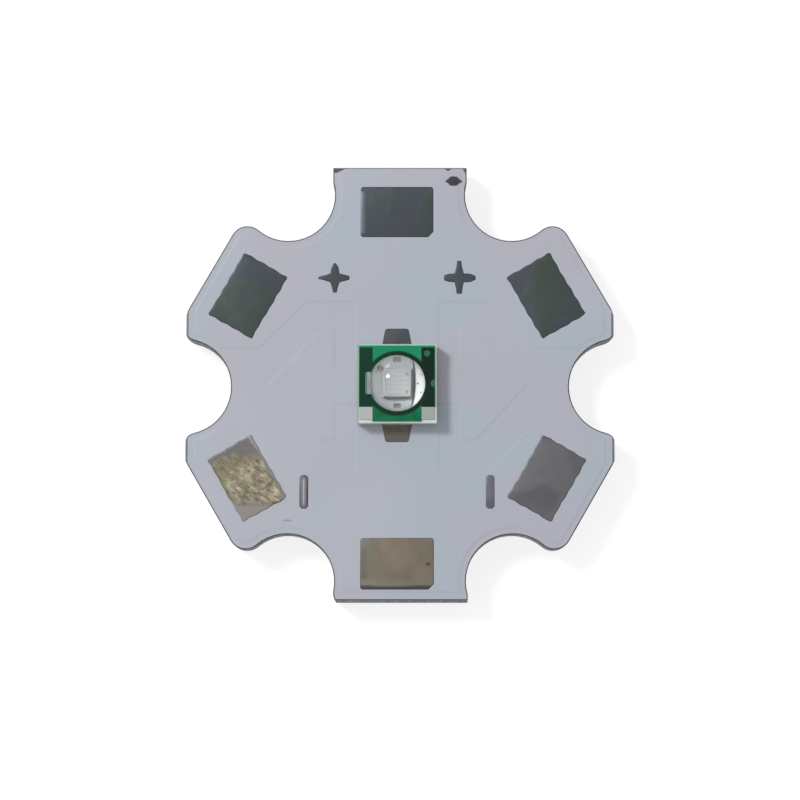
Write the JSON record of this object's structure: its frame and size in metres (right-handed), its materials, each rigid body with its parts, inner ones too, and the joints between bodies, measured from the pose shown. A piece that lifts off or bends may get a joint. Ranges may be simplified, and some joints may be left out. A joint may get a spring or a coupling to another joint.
{
  "type": "star-board high-power ultraviolet led",
  "caption": "Square ceramic light emitter with a clear domed lens, soldered to a star-shaped aluminium-core board with edge notches and tinned wire pads.",
  "frame": {"origin": "centre of the board's flat back", "axes": "+Z out of the lens, +Y towards the top tab, between the two plus marks"},
  "size_m": [0.0188, 0.0192, 0.0037],
  "materials": {
    "aluminium": "punched sheet, faint rolling lines",
    "dielectric": "filled resin",
    "copper": "rolled foil",
    "white_mask": "satin printed coat",
    "tin": "solder, levelled and dulled",
    "ceramic": "fired, unglazed",
    "package_metal": "plated",
    "green_mask": "printed coat",
    "die": "polished semiconductor",
    "diode": "polished semiconductor",
    "gold": "drawn wire and plated pads",
    "lens": "clear silicone"
  },
  "bodies": {
    "root": {"aluminium_base": "aluminium", "dielectric_layer": "dielectric", "plus_copper": "copper", "minus_copper": "copper", "thermal_copper": "copper", "solder_mask": "white_mask", "plus_solder_joint": "tin", "minus_solder_joint": "tin", "thermal_solder_joint": "tin", "ceramic_substrate": "ceramic", "anode_contact": "package_metal", "cathode_contact": "package_metal", "thermal_contact": "package_metal", "anode_via": "package_metal", "cathode_via": "package_metal", "anode_trace": "package_metal", "cathode_trace": "package_metal", "package_mask": "green_mask", "die_attach": "package_metal", "led_die": "die", "die_fingers": "gold", "protection_diode": "diode", "upper_bond_wire": "gold", "lower_bond_wire": "gold", "diode_wire": "gold", "lens": "lens", "top_pad_tin": "tin", "upper_left_pad_tin": "tin", "upper_right_pad_tin": "tin", "lower_left_pad_tin": "tin", "lower_right_pad_tin": "tin", "bottom_pad_tin": "tin", "plus_mark_left": "tin", "plus_mark_right": "tin", "minus_mark_left": "tin", "minus_mark_right": "tin"}
  },
  "joints": []
}
